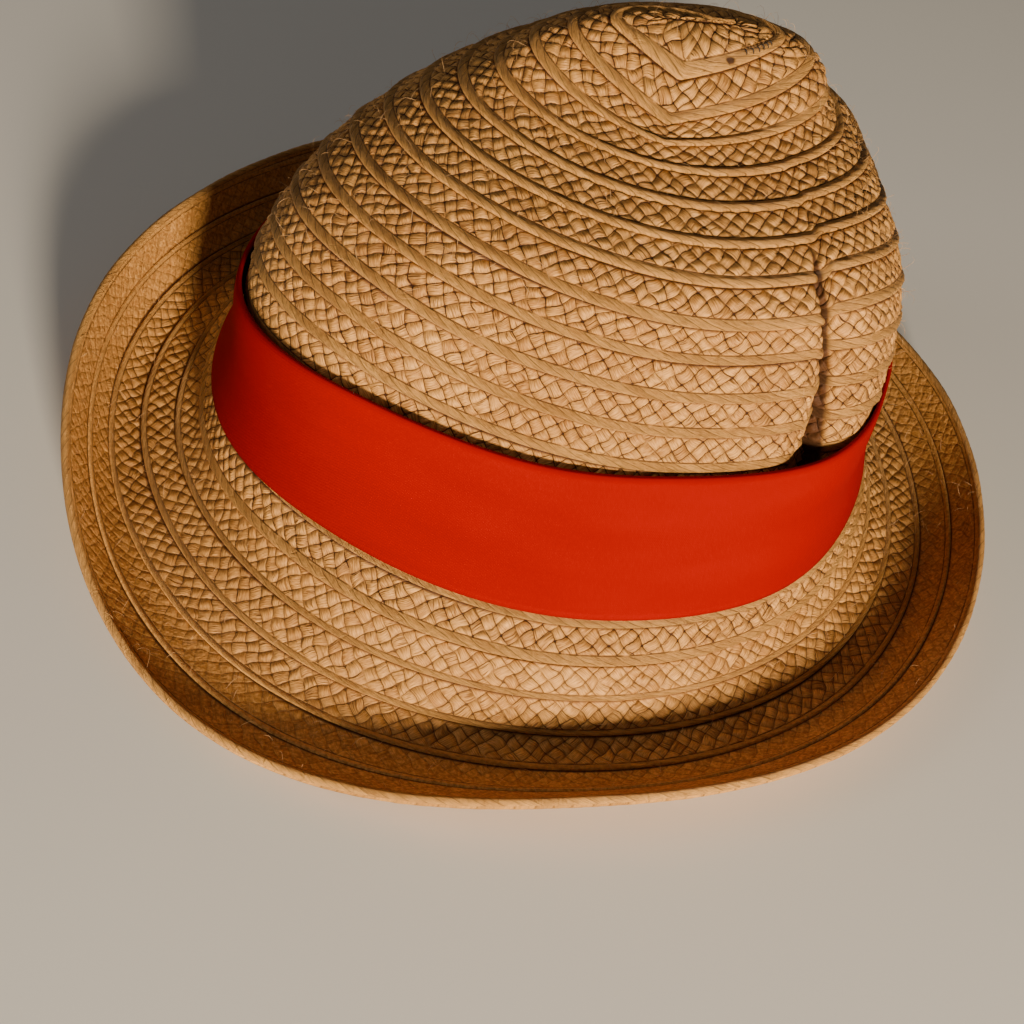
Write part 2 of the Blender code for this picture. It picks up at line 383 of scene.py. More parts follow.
def spline(places, values, at):
    """A smooth curve through values at rising places, with the slopes of a cardinal spline."""
    slopes = np.gradient(values, places)
    cell = np.clip(np.searchsorted(places, at, side="right") - 1, 0, len(places) - 2)
    span = places[cell + 1] - places[cell]
    part = (at - places[cell]) / span
    return hermite(values[cell], values[cell + 1], slopes[cell] * span, slopes[cell + 1] * span, part)


def by_direction(rows, names, name, turn):
    """A column of a table by direction, smooth all the way round, at the azimuths turn."""
    azimuths = np.radians(table_column(rows, names, "azimuth"))
    values = table_column(rows, names, name)
    places = np.concatenate([azimuths[-2:] - TURN, azimuths, azimuths[:2] + TURN])
    looped = np.concatenate([values[-2:], values, values[:2]])
    return spline(places, looped, np.mod(turn, TURN))


def brim_value(name, turn):
    """A column of the brim's table at the azimuths turn."""
    return by_direction(BRIM_SECTIONS, BRIM_COLUMNS, name, turn)


def smooth(low, high, value):
    """0 below low, 1 above high and an even slope-free curve between."""
    part = np.clip((value - low) / (high - low), 0.0, 1.0)
    return part * part * (3.0 - 2.0 * part)


def away_from(turn, azimuth):
    """Signed angle from an azimuth in degrees to the azimuths turn, in radians."""
    return np.angle(np.exp(1j * (turn - np.radians(azimuth))))


def pinch_depth(down, turn):
    """How far the pinches press the crown in, at a share down the wall and an azimuth."""
    total = 0.0
    for row in CROWN_PINCHES:
        pinch = dict(zip(PINCH_COLUMNS, row))
        away = np.abs(away_from(turn, pinch["azimuth"]))
        across = away * CROWN_WIDTH / 2.0 / (pinch["width"] * PINCH_WIDTH)
        along = np.clip((down - pinch["start"]) / (pinch["end"] - pinch["start"]), 0.0, 1.0)
        valley = np.exp(-across ** PINCH_SHARPNESS) * np.sin(math.pi * along) ** PINCH_BLUNTNESS
        total = total + pinch["depth"] * PINCH_DEPTH * valley
    return total


def crease_depth(down, turn):
    """Depth of the sharp line in the visible pinch. It falls off with the distance from a line
    whose azimuth slides from one value to the other on the way down."""
    start, end = CREASE_DOWN
    azimuth = np.interp(down, (start, end), CREASE_AZIMUTHS)
    away = np.abs(away_from(turn, azimuth)) * CROWN_WIDTH / 2.0
    reach = smooth(start - 0.08, start + 0.06, down) * (1.0 - smooth(*CREASE_END, down))
    return CREASE_DEPTH * reach * np.exp(-(away / CREASE_WIDTH) ** CREASE_BLUNTNESS)


def crown_form(down, turn, pinched=1.0, creased=1.0):
    """Points of the crown's outer face. Each section is an oval whose distance from its middle
    swells with the folds and shrinks at the pinches and at the crease, times the shares given."""
    places = table_column(CROWN_SECTIONS, SECTION_COLUMNS, "down")
    reading = {name: spline(places, table_column(CROWN_SECTIONS, SECTION_COLUMNS, name), down)
               for name in SECTION_COLUMNS[1:]}
    half_length = CROWN_LENGTH / 2.0 * reading["length"]
    half_width = CROWN_WIDTH / 2.0 * np.where(np.cos(turn) < 0.0, reading["right"], reading["left"])
    swell = 1.0 + 4.0 * down * (1.0 - down) * by_direction(CROWN_FOLDS, FOLD_COLUMNS, "swell", turn)
    across = half_width * np.cos(turn) * swell
    along = half_length * np.sin(turn) * swell
    distance = np.maximum(np.hypot(across, along), SMALLEST)
    pressed = pinched * pinch_depth(down, turn) + creased * crease_depth(down, turn)
    shrink = 1.0 - np.minimum(pressed / distance, PINCH_LIMIT)
    x = CROWN_WIDTH / 2.0 * reading["aside"] + across * shrink
    y = -CROWN_LENGTH / 2.0 * reading["ahead"] + along * shrink
    late = down ** FOOT_LATENESS
    foot = WALL + BREAK_RISE * brim_value("break_up", turn)
    floor = (WALL + BREAK_RISE) * (1.0 - late) + foot * late
    return np.stack([x, y, CROWN_HEIGHT * reading["height"] + floor], axis=-1)


def brim_form(turn):
    """Rings of the brim's upper face from the break to the rim: a fall to the trough, a level
    stretch and a climb, laid off square to the crown's foot in plan."""
    foot = crown_form(np.ones_like(turn), turn)
    tangent = np.roll(foot, -1, axis=0) - np.roll(foot, 1, axis=0)
    normal = unit(np.stack([tangent[:, 1], -tangent[:, 0], np.zeros(len(foot))], axis=1))
    step = foot - crown_form(np.full_like(turn, 1.0 - FOOT_SHARE), turn)
    start = np.arctan2(-step[:, 2], np.maximum((step * normal).sum(axis=1), SMALLEST))
    rise = BREAK_RISE * brim_value("break_up", turn)
    trough = TROUGH_RUN * brim_value("out", turn)
    rim_out = trough + RIM_RUN * brim_value("far", turn)
    rim_up = RIM_RISE * brim_value("rim_up", turn)
    stop = np.radians(brim_value("stop", turn))
    inner = trough - TROUGH_FLAT / 2.0
    outer = trough + TROUGH_FLAT / 2.0
    fall = np.hypot(inner, rise)
    climb = np.hypot(rim_out - outer, rim_up)
    parts = np.linspace(0.0, 1.0, GRID_RINGS // 2)[:, None]
    later = parts[1:]
    out = np.vstack([hermite(0.0, inner, fall * np.cos(start), fall, parts),
                     inner + (outer - inner) * later,
                     hermite(outer, rim_out, climb, climb * np.cos(stop), later)])
    up = np.vstack([hermite(rise, 0.0, -fall * np.sin(start), 0.0, parts),
                    np.zeros((len(later), len(turn))),
                    hermite(0.0, rim_up, 0.0, climb * np.sin(stop), later)])
    points = foot[None, :, :] + out[:, :, None] * normal[None, :, :]
    points[:, :, 2] = up + WALL
    return points


class Surface:
    """A surface read by the share of the way down it and the azimuth. It is a table of points,
    evenly spaced along each azimuth's own line, with their outward normals and with how far each
    lies in the crease, from 0 to 1, which sets the painted shade in the crease."""

    def __init__(self, points, folds):
        steps = np.linalg.norm(np.diff(points, axis=0), axis=2)
        runs = np.vstack([np.zeros(points.shape[1]), np.cumsum(steps, axis=0)])
        self.lengths = runs[-1]
        shares = np.linspace(0.0, 1.0, GRID_RINGS + 1)
        self.points = np.empty((GRID_RINGS + 1, points.shape[1], 3))
        self.folds = np.empty((GRID_RINGS + 1, points.shape[1]))
        for j in range(points.shape[1]):
            self.folds[:, j] = np.interp(shares * runs[-1, j], runs[:, j], folds[:, j])
            for axis in range(3):
                self.points[:, j, axis] = np.interp(
                    shares * runs[-1, j], runs[:, j], points[:, j, axis])
        down = np.gradient(self.points, axis=0)
        along = np.roll(self.points, -1, axis=1) - np.roll(self.points, 1, axis=1)
        self.normals = unit(np.cross(down, along))
        self.normals[0] = self.normals[1]

    def length(self, turn):
        """Length of the line at each azimuth."""
        return self.mix(self.lengths[None, :], np.zeros_like(turn), turn)

    def mix(self, grid, share, turn):
        """Values of a grid between its points, straight along both of its directions."""
        rings, columns = grid.shape[:2]
        row = np.clip(share, 0.0, 1.0) * (rings - 1)
        column = np.mod(turn, TURN) / TURN * columns
        upper = np.minimum(row.astype(int), max(rings - 2, 0))
        lower = np.minimum(upper + 1, rings - 1)
        left = np.mod(column.astype(int), columns)
        right = (left + 1) % columns
        part_down = row - upper
        part_along = column - np.floor(column)
        if grid.ndim == 3:
            part_down = part_down[..., None]
            part_along = part_along[..., None]
        first = grid[upper, left] * (1.0 - part_along) + grid[upper, right] * part_along
        last = grid[lower, left] * (1.0 - part_along) + grid[lower, right] * part_along
        return first * (1.0 - part_down) + last * part_down

    def at(self, share, turn):
        """Points and outward normals."""
        return self.mix(self.points, share, turn), unit(self.mix(self.normals, share, turn))


def finer_around(grid, times):
    """A closed grid with more columns: a cubic through each four neighbours round the hat."""
    before, after, next_after = (np.roll(grid, shift, axis=1) for shift in (1, -1, -2))
    part = (np.arange(times) / times)[None, None, :, None]
    leave = ((after - before) / 2.0)[:, :, None]
    arrive = ((next_after - grid) / 2.0)[:, :, None]
    fine = hermite(grid[:, :, None], after[:, :, None], leave, arrive, part)
    return fine.reshape(grid.shape[0], -1, 3)


def hat_surfaces(pinched=1.0, creased=1.0):
    """The crown and the brim as surfaces, moved to where the brim fills its box in the frame."""
    turn = angles_round(GRID_TURNS)
    downs = np.linspace(0.0, 1.0, GRID_RINGS + 1)
    crown = crown_form(downs[:, None], turn[None, :], pinched, creased)
    brim = finer_around(brim_form(turn[::COLUMN_STEP]), COLUMN_STEP)
    low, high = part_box("brim")
    edge = brim.reshape(-1, 3)
    middle = (edge.min(axis=0) + edge.max(axis=0)) / 2.0
    move = np.array([(low.x + high.x) / 2.0 - middle[0], (low.y + high.y) / 2.0 - middle[1], 0.0])
    # How far each point lies in the crease, from 0 to 1: it sets the painted shade in the crease.
    folds = creased * crease_depth(downs[:, None], turn[None, :]) / CREASE_DEPTH
    return Surface(crown + move, folds), Surface(brim + move, np.zeros(brim.shape[:2]))


def waves(count, reach, seed):
    """A smooth irregular curve of a position: sines of seeded lengths and phases, within -1..1."""
    random = np.random.default_rng(seed)
    rates = random.uniform(0.35, 1.6, count) * TURN / reach
    phases = random.uniform(0.0, TURN, count)
    shares = random.uniform(0.4, 1.0, count)
    shares = shares / shares.sum()

    def curve(position):
        total = np.zeros_like(position)
        for rate, phase, share in zip(rates, phases, shares):
            total = total + share * np.sin(rate * position + phase)
        return total
    return curve


def short_waves(seed):
    """A smooth irregular field of two positions, within -1..1: eight plane waves of seeded
    directions, lengths and phases."""
    random = np.random.default_rng(seed)
    rates = random.uniform(*SHORT_WAVES, 8) * TURN
    bearings = random.uniform(0.0, TURN, 8)
    phases = random.uniform(0.0, TURN, 8)

    def field(first, second):
        total = 0.0
        for rate, bearing, phase in zip(rates, bearings, phases):
            way = first * math.cos(bearing) + second * math.sin(bearing)
            total = total + np.sin(rate * way + phase) / 4.0
        return total
    return field


def crown_line(rows, lengths, pitch, turn):
    """Way down the wall of the row edge numbered rows: even rows first, with a corner in the
    first ones and a sag on the visible side, and then what is left of the wall shared out among
    the low rows."""
    even = pitch * (np.minimum(rows, EVEN_ROWS) + FIRST_ROW_EXTRA * np.minimum(rows, 1.0))
    last = pitch * (EVEN_ROWS + FIRST_ROW_EXTRA)
    low = np.clip((rows - EVEN_ROWS) / LOW_ROWS, 0.0, 1.0) * (lengths - last)
    away = np.abs(away_from(turn, CORNER_AZIMUTH)) / math.radians(CORNER_WIDTH)
    reach = np.interp(rows, np.arange(len(CORNER_REACH) + 1), (*CORNER_REACH, 0.0))
    edges, sags = zip(*ROW_SAGS)
    aside = away_from(turn, SAG_AZIMUTH) / math.radians(SAG_WIDTH)
    past = away_from(turn, SAG_STOP) / math.radians(SAG_STOP_WIDTH)
    sag = np.interp(rows, edges, sags) * np.exp(-aside ** 2) * (1.0 - 0.85 * smooth(-1.0, 1.0, past))
    return even + low + reach * np.exp(-away) + sag


def brim_line(rows, lengths, pitch, turn):
    """Way out along the brim of the row edge numbered rows: its length shared out evenly."""
    return lengths * rows / BRIM_ROWS


def row_across(cells, cord_start):
    """Places across a row from its tucked edge to past its cord, closer together on the cord."""
    weave = np.linspace(0.0, cord_start - 0.02, cells)
    half = (1.0 - cord_start) / 2.0
    cord = 1.0 - half - half * np.cos(np.linspace(0.0, math.pi, CORD_CELLS))
    return np.concatenate([[-TUCK], weave, cord, [ROW_END]])


def scatter(first, second):
    """One irregular number from 0 to 1 for each pair of whole numbers."""
    return np.mod(np.sin(first * 12.9898 + second * 78.233) * 43758.5453, 1.0)


def chip_swell(along, across):
    """Height of the plait, about 0 in the gaps and 1 on a crossing. Two families of strands cross
    in a diamond net. On each square one strand lies on top: it is flat across its width, with
    crisp edges, and dives under its neighbours at its ends. Each square has its own height and
    its own small tilt."""
    one = along + across
    two = along - across
    cell_one, cell_two = np.floor(one), np.floor(two)
    part_one, part_two = one - cell_one, two - cell_two
    over = np.mod(cell_one + cell_two, 2.0) > 0.5
    length = np.where(over, part_one, part_two)
    width = np.where(over, part_two, part_one)
    dive = np.sin(math.pi * length) ** 0.8
    side = 1.0 - np.abs(2.0 * width - 1.0) ** 6
    own = scatter(cell_one, cell_two)
    lean = (scatter(cell_two, cell_one) - 0.5) * (width - 0.5) + (own - 0.5) * (length - 0.5)
    return dive * side * (0.75 + 0.5 * own + 0.9 * lean)


def row_height(across, along, weave, sizes, cord, cord_start, swell):
    """Height of a row over the form. It rises evenly to its lap, with the chips on it, and ends
    in a cord of slanted strands that climbs slowly and drops steeply at the row's edge."""
    slope = 0.1 + 0.9 * np.clip(across, 0.0, 1.0)
    fade = smooth(-0.02, 0.05, across) * (1.0 - smooth(cord_start - 0.06, cord_start, across))
    height = sizes.lap * slope + swell * sizes.chip_rise * fade * chip_swell(along, weave)
    half = (1.0 - cord_start) / 2.0
    place = np.clip((across - 1.0 + half) / half, -1.0, 1.0)
    strand = along - CORD_SLANT * place
    part = strand - np.floor(strand)
    twist = (1.0 - np.abs(2.0 * part - 1.0) ** 3) * (0.6 + 0.6 * scatter(np.floor(strand), 3.0))
    fall = np.sqrt(1.0 - np.clip((place - CORD_TOP) / (1.0 - CORD_TOP), 0.0, 1.0) ** 2)
    bead = smooth(-1.0, CORD_TOP, place) * fall * (0.74 + 0.26 * twist)
    height = height + cord * bead * (np.abs(place) < 1.0)
    height = np.where(across < 0.0, TUCKED_HEIGHT, height)
    return np.where(across > 1.0, PAST_END_HEIGHT, height)


def ribbon(surface, line, rows, cells, step, cord, cord_start, swell, side, ease, press, seed):
    """One long plait wound over a surface. The winding moves on by a row within a part of each
    turn, and the edges keep to closed rows for the rest. Returns grids of points, of braid
    coordinates (chips along, chips across and place across the row) and of three masks (how far
    the plait is pressed flat, and for painted shade how deep it lies in the crease and how far in
    the hole at its end), across the row first and then along it."""
    sizes = bpy.context.scene.hat_sizes
    turns = np.linspace(0.0, rows + WINDING_SHARE, int((rows + WINDING_SHARE) * GRID_TURNS))

    def row_of(wound):
        whole = np.floor(wound)
        return np.minimum(whole + smooth(0.0, WINDING_SHARE, wound - whole), rows)

    def share_at(wound, across, turn):
        length = surface.length(turn)
        numbers = np.clip(row_of(wound) - 1.0 + across, 0.0, rows)
        way = line(numbers, length, sizes.row, turn)
        return way / length, length

    start = math.radians(WINDING_AZIMUTH)
    share, length = share_at(turns, 0.5, start + TURN * turns)
    middle, normal = surface.at(share, start + TURN * turns)
    steps = np.linalg.norm(np.diff(middle, axis=0), axis=1)
    runs = np.concatenate([[0.0], np.cumsum(steps)])
    beside = away_from(start + TURN * turns[1:], np.mean(CREASE_AZIMUTHS)) * CROWN_WIDTH / 2.0
    dense = 1.0 + CREASE_CELLS * (side > 0.0) * np.exp(-(beside / CREASE_REACH) ** 2)
    marks = np.concatenate([[0.0], np.cumsum(steps * dense)])
    wound = np.interp(np.linspace(0.0, marks[-1], int(marks[-1] / step)), marks, turns)
    across, wound = np.broadcast_arrays(row_across(cells, cord_start)[None, :], wound[:, None])
    run = np.interp(wound, turns, runs)
    turn = start + TURN * wound
    share, length = share_at(wound, across, turn)
    share = share + WINDING_WANDER / length * waves(9, 0.09, seed)(run)
    point, normal = surface.at(share, turn)
    along = run / sizes.chip + CHIP_DRIFT * waves(9, 0.03, seed + 1)(run)
    weave = across * sizes.row / sizes.chip + np.floor(wound) * ROW_OFFSET
    first, second = short_waves(seed + 2), short_waves(seed + 4)
    along, weave = along + WARP * first(along, weave), weave + WARP * second(along, weave)
    pressed = press(share)
    cord = cord * (1.0 + CORD_CHANGE * waves(9, 0.02, seed + 3)(run)) * (1.0 - PRESSED_CORD * pressed)
    height = ease(share, length) * row_height(
        across, along, weave, sizes, cord, cord_start, swell * (1.0 - PRESSED_CHIP * pressed))
    # The hole where the plait's end is tucked in: the points dip into it, and the same mask paints
    # shade inside it.
    hole = np.zeros_like(height)
    if line is crown_line:
        centre = surface.at(np.array([END_SHARE]), np.radians([END_AZIMUTH]))[0]
        hole = np.exp(-(np.linalg.norm(point - centre, axis=-1) / END_HOLE) ** 2)
    point = point + (side * height - END_DIP * hole)[..., None] * normal
    # How deep the point lies in the crease: the mask for the painted shade in the crease.
    deep = surface.mix(surface.folds, share, turn) * (side > 0.0)
    made = (point, np.stack([along, weave, across], axis=-1),
            np.stack([pressed, deep, hole], axis=-1))
    return [values.transpose(1, 0, 2) for values in made]


def add_object(name, data):
    """An object in the scene for a mesh, a lamp or a camera."""
    added = bpy.data.objects.new(name, data)
    bpy.context.scene.collection.objects.link(added)
    return added


def add_grid(name, points, braid, press_and_shade=None, around=False, close=False):
    """A mesh of four-sided cells on a grid of points. around joins the last column to the first,
    and close joins the last row to the first. Faces are turned to the side that the order of the
    rows and columns gives. braid and wear are kept on the points as attributes."""
    rows, columns = points.shape[:2]
    first = np.arange(rows if close else rows - 1)[:, None]
    left = np.arange(columns if around else columns - 1)[None, :]
    below = (first + 1) % rows
    right = (left + 1) % columns
    quads = np.stack(np.broadcast_arrays(first * columns + left, below * columns + left,
                                         below * columns + right, first * columns + right), axis=-1)
    quads = quads.reshape(-1, 4)
    mesh = bpy.data.meshes.new(name)
    mesh.vertices.add(rows * columns)
    mesh.vertices.foreach_set("co", points.reshape(-1).astype(np.float32))
    mesh.loops.add(quads.size)
    mesh.loops.foreach_set("vertex_index", quads.reshape(-1).astype(np.int32))
    mesh.polygons.add(len(quads))
    mesh.polygons.foreach_set("loop_start", np.arange(0, quads.size, 4, dtype=np.int32))
    mesh.update(calc_edges=True)
    mesh.polygons.foreach_set("use_smooth", np.ones(len(quads), bool))
    for label, values in (("braid", braid), ("press_and_shade", press_and_shade)):
        if values is not None:
            layer = mesh.attributes.new(label, "FLOAT_VECTOR", "POINT")
            layer.data.foreach_set("vector", values.reshape(-1).astype(np.float32))
    mesh.validate()
    return add_object(name, mesh)


def dress(piece, material, node):
    """Gives a piece its material, and with it a material slot, and its body, and hides the CAD
    node that it stands for, if there is one."""
    piece.data.materials.append(material)
    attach(piece, "root")
    if node:
        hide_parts(node)


def add_tubes(name, points):
    """A mesh of thin open tubes. The points are ordered by tube, ring and corner."""
    count, rings, sides = points.shape[:3]
    start = (np.arange(count) * rings * sides)[:, None, None]
    level = start + (np.arange(rings - 1) * sides)[None, :, None]
    corner = np.arange(sides)[None, None, :]
    after = (corner + 1) % sides
    faces = np.stack([level + corner, level + after,
                      level + sides + after, level + sides + corner], axis=-1)
    mesh = bpy.data.meshes.new(name)
    mesh.from_pydata(points.reshape(-1, 3).tolist(), [], faces.reshape(-1, 4).tolist())
    mesh.shade_smooth()
    return add_object(name, mesh)


class Value:
    """A number in a node tree. Python's operators on it add Math nodes."""

    def __init__(self, finish, socket):
        self.finish = finish
        self.socket = socket

    def __add__(self, other):
        return self.finish.math("ADD", self, other)

    __radd__ = __add__

    def __mul__(self, other):
        return self.finish.math("MULTIPLY", self, other)

    __rmul__ = __mul__

    def __sub__(self, other):
        return self.finish.math("SUBTRACT", self, other)

    def __rsub__(self, other):
        return self.finish.math("SUBTRACT", other, self)

    def __abs__(self):
        return self.finish.math("ABSOLUTE", self)

    def floor(self):
        """The whole number below."""
        return self.finish.math("FLOOR", self)

    def fract(self):
        """What is over the whole number below."""
        return self.finish.math("FRACT", self)

    def power(self, exponent):
        """Raised to a power."""
        return self.finish.math("POWER", self, exponent)

    def highest(self, other):
        """The larger of two."""
        return self.finish.math("MAXIMUM", self, other)

    def smooth(self, low, high):
        """0 at low, 1 at high and smooth between."""
        node = self.finish.node("ShaderNodeMapRange", {"interpolation_type": "SMOOTHSTEP"},
                                {"Value": self, "From Min": low, "From Max": high})
        return Value(self.finish, node.outputs["Result"])

    def fade(self, mark):
        """0 to 1 over the range in which a mark on the straw fades in."""
        return self.smooth(*FADES[mark])


class Finish:
    """A material under construction."""

    def __init__(self, name):
        self.material = bpy.data.materials.new(name)
        self.material.use_nodes = True
        self.tree = self.material.node_tree
        self.shader = self.tree.nodes["Principled BSDF"]

    def put(self, socket, value):
        """Links a value to a socket, or sets it there."""
        if isinstance(value, Value):
            self.tree.links.new(value.socket, socket)
        elif isinstance(value, bpy.types.NodeSocket):
            self.tree.links.new(value, socket)
        else:
            socket.default_value = value

    def node(self, kind, settings, inputs):
        """A node of a kind, with its settings made first and its sockets filled."""
        made = self.tree.nodes.new(kind)
        for name, value in settings.items():
            setattr(made, name, value)
        for name, value in inputs.items():
            self.put(made.inputs[name], value)
        return made

    def math(self, operation, *values):
        """A Math node."""
        made = self.node("ShaderNodeMath", {"operation": operation}, dict(enumerate(values)))
        return Value(self, made.outputs[0])

    def mix(self, factor, first, second):
        """A mix of two colours."""
        made = self.node("ShaderNodeMix", {"data_type": "RGBA"}, {"Factor": factor})
        self.put(made.inputs[6], first)
        self.put(made.inputs[7], second)
        return made.outputs[2]

    def blend(self, factor, first, second):
        """A mix of two numbers."""
        return first + factor * (second - first)

    def vector(self, x, y, z=0.0):
        """Three numbers as a vector."""
        return self.node("ShaderNodeCombineXYZ", {}, {"X": x, "Y": y, "Z": z}).outputs["Vector"]

    def attribute(self, name):
        """The three numbers of an attribute of the mesh."""
        read = self.node("ShaderNodeAttribute", {"attribute_name": name}, {})
        split = self.node("ShaderNodeSeparateXYZ", {}, {"Vector": read.outputs["Vector"]})
        return [Value(self, split.outputs[axis]) for axis in "XYZ"]

    def noise(self, vector, scale, detail):
        """Noise from 0 to 1."""
        made = self.node("ShaderNodeTexNoise", {},
                         {"Vector": vector, "Scale": scale, "Detail": detail})
        return Value(self, made.outputs["Fac"])

    def speckle(self, x, y, z=0.0):
        """One random number for each three whole numbers."""
        made = self.node("ShaderNodeTexWhiteNoise", {"noise_dimensions": "3D"},
                         {"Vector": self.vector(x, y, z)})
        return Value(self, made.outputs["Value"])

    def paint(self, base, roughness):
        """Sets the colour and the roughness."""
        self.put(self.shader.inputs["Base Color"], base)
        self.put(self.shader.inputs["Roughness"], roughness)

    def sheen(self, level):
        """Sets how much the surface reflects at right angles."""
        self.shader.inputs["Specular IOR Level"].default_value = level

    def place(self):
        """The point's place on the object."""
        return self.node("ShaderNodeTexCoord", {}, {}).outputs["Object"]

    def bump(self, height, distance, strength):
        """Small relief under the shading."""
        made = self.node("ShaderNodeBump", {},
                         {"Height": height, "Distance": distance, "Strength": strength})
        self.put(self.shader.inputs["Normal"], made.outputs["Normal"])


def colour(values, dim=1.0):
    """A colour, dimmed by a factor, with its alpha."""
    return (*(dim * value for value in values), 1.0)


def straw_finish(name, cord_start, gap_strength, fibre_strength):
    """Plaited straw. The braid coordinates give a diamond net of chips. On each chip one strand
    lies on top: it swells across its width, sinks at its ends, leans a little its own way, has
    fibres along it and a tint of its own. Gaps are dark lines of changing strength with pits at
    the corners, and some strands have slits. The cord has slanted strands with nicks between
    them. Shade is painted into the colour where each strand dives under its neighbours, along
    the tucked edge of each row under the cord above it, inside the crease and inside the hole at
    the plait's end, and the cords are painted lighter as a highlight on their ridges."""
    palette = bpy.context.scene.hat_colours
    finish = Finish(name)
    along, weave, across = finish.attribute("braid")
    # How far the plait is pressed flat, and two masks for painted shade: in the crease and in the
    # hole at the plait's end.
    pressed, deep, hole = finish.attribute("press_and_shade")
    one = along + weave
    two = along - weave
    over = ((one.floor() + two.floor()) * 0.5).fract() * 2.0
    place_one = one.fract() - 0.5
    place_two = two.fract() - 0.5
    lengthwise = finish.blend(over, place_two, place_one)
    widthwise = finish.blend(over, place_one, place_two)
    end = abs(lengthwise) * 2.0
    side = abs(widthwise) * 2.0

    def along_strand(fine, coarse, layer, detail):
        """Noise drawn out along the strand on top."""
        first = finish.noise(finish.vector(one * fine, two * coarse, layer), 1.0, detail)
        second = finish.noise(finish.vector(one * coarse, two * fine, layer), 1.0, detail)
        return finish.blend(over, first, second)

    fibres = along_strand(15.0, 1.2, 0.0, 3.0)
    own = finish.speckle(one.floor(), two.floor())
    other = finish.speckle(two.floor(), one.floor(), 5.0)
    loose = finish.noise(finish.vector(one * 0.8, two * 0.8), 1.0, 3.0)
    line = side.fade("chip_side").highest(end.fade("chip_end")) * loose.fade("line_kept")
    pit = (side * end).fade("pit") * loose.fade("pit_kept")
    # Painted shade at the ends of each chip, where the strand dives under its neighbours.
    painted_dive_shade = end.fade("painted_dive_shade") * DARKNESS["painted_dive_shade"]
    chance = finish.speckle(one.floor(), two.floor(), 9.0).fade("slit_chance")
    slit = along_strand(7.0, 0.5, 3.0, 1.0).fade("slit") * chance
    gap = line.highest(pit).highest(painted_dive_shade).highest(slit * DARKNESS["slit"])
    cushion = (1.0 - side.power(5.0)) * (1.0 - end.power(2.0) * 0.85)
    lean = lengthwise * (own - 0.5) * 1.5 + widthwise * (other - 0.5) * 1.5

    half = (1.0 - cord_start) / 2.0
    cord_place = (across - (1.0 - half)) * (1.0 / half)
    strand = along - cord_place * CORD_SLANT
    seam = abs(strand.fract() - 0.5) * 2.0
    twist = finish.noise(finish.vector(strand * 20.0, cord_place * 1.1), 1.0, 4.0)
    own_strand = finish.speckle(strand.floor(), 3.0)
    on_cord = across.smooth(cord_start - CORD_EDGE, cord_start + CORD_EDGE)
    groove = abs(across - cord_start).fade("groove") * loose.fade("groove_kept")

    kept = 1.0 - pressed * 0.65
    frayed = twist.fade("frayed") * DARKNESS["frayed"]
    rope = (seam.fade("rope") * loose.fade("rope_kept") * DARKNESS["rope"]).highest(frayed)
    dark = finish.blend(on_cord, gap * gap_strength, rope * gap_strength) * kept
    dark = dark.highest(groove * DARKNESS["groove"] * gap_strength)
    # Painted shade: a painted shadow along each row's tucked edge under the cord above it, and
    # painted shade inside the crease and inside the hole at the plait's end.
    for value, mark in ((across, "painted_tuck_shadow"), (deep, "crease"), (hole, "hole")):
        dark = dark.highest(value.fade(mark) * DARKNESS[mark])
    grain = finish.blend(on_cord, fibres, twist)
    tint = finish.blend(on_cord, own, own_strand)
    patches = finish.noise(finish.place(), 38.0, 3.0)
    fuzz = finish.noise(finish.place(), 1100.0, 2.0) - 0.5
    light = tint * 0.45 + (grain - 0.5) * 3.0 * fibre_strength + (patches - 0.5) * 0.8
    light = light * kept + fuzz * (0.5 + pressed * 1.6)
    # Cords painted lighter: partly their own paler straw and partly a painted highlight along their
    # ridges.
    light = light + on_cord * 0.34
    straw = finish.mix(light.fade("light"), colour(palette.straw, STRAW_DIM), colour(palette.pale))
    finish.paint(finish.mix(dark, straw, colour(palette.gap)), 0.48 + 0.25 * grain)
    finish.sheen(0.30)
    chips = cushion + lean - pit * 0.5
    cord = (1.0 - seam.power(3.0)) * 0.6 + (twist - 0.5) * 1.1
    relief = finish.blend(on_cord, chips, cord) + (grain - 0.5) * 0.75 * fibre_strength
    finish.bump(relief * kept - groove * 0.5 - slit * 0.4 + fuzz * pressed * 0.5,
                STRAW_RELIEF * MM * gap_strength, 1.0)
    return finish.material


def cloth_finish():
    """Plain woven red cloth: fine threads both ways, soft creases and a slightly worn tone."""
    palette = bpy.context.scene.hat_colours
    finish = Finish("hat_red_cloth")
    along, up = finish.attribute("braid")[:2]
    pitch = TURN / (CLOTH_THREAD * MM)
    threads = finish.math("SINE", along * pitch) * finish.math("SINE", up * pitch)
    soft = finish.noise(finish.vector(along * 28.0, up * 120.0), 1.0, 3.0)
    fleck = finish.noise(finish.place(), 900.0, 2.0)
    tone = ((soft - 0.5) * 1.1 + (fleck - 0.5) * 0.5 + threads * 0.10).smooth(-0.8, 0.8)
    finish.paint(finish.mix(tone, colour(palette.cloth, CLOTH_DIM), colour(palette.cloth)),
                 0.78 + 0.12 * fleck)
    finish.sheen(0.05)
    finish.bump(threads * 0.25 + soft * 1.2, CLOTH_RELIEF * MM, 0.5)
    return finish.material


def fibre_finish():
    """Single fibres: pale straw with a tone that changes from place to place."""
    palette = bpy.context.scene.hat_colours
    finish = Finish("hat_loose_fibre")
    tone = finish.noise(finish.place(), 420.0, 1.0)
    finish.paint(finish.mix(tone, colour(palette.straw), colour([0.80, 0.56, 0.30])),
                 0.45 + 0.2 * tone)
    return finish.material


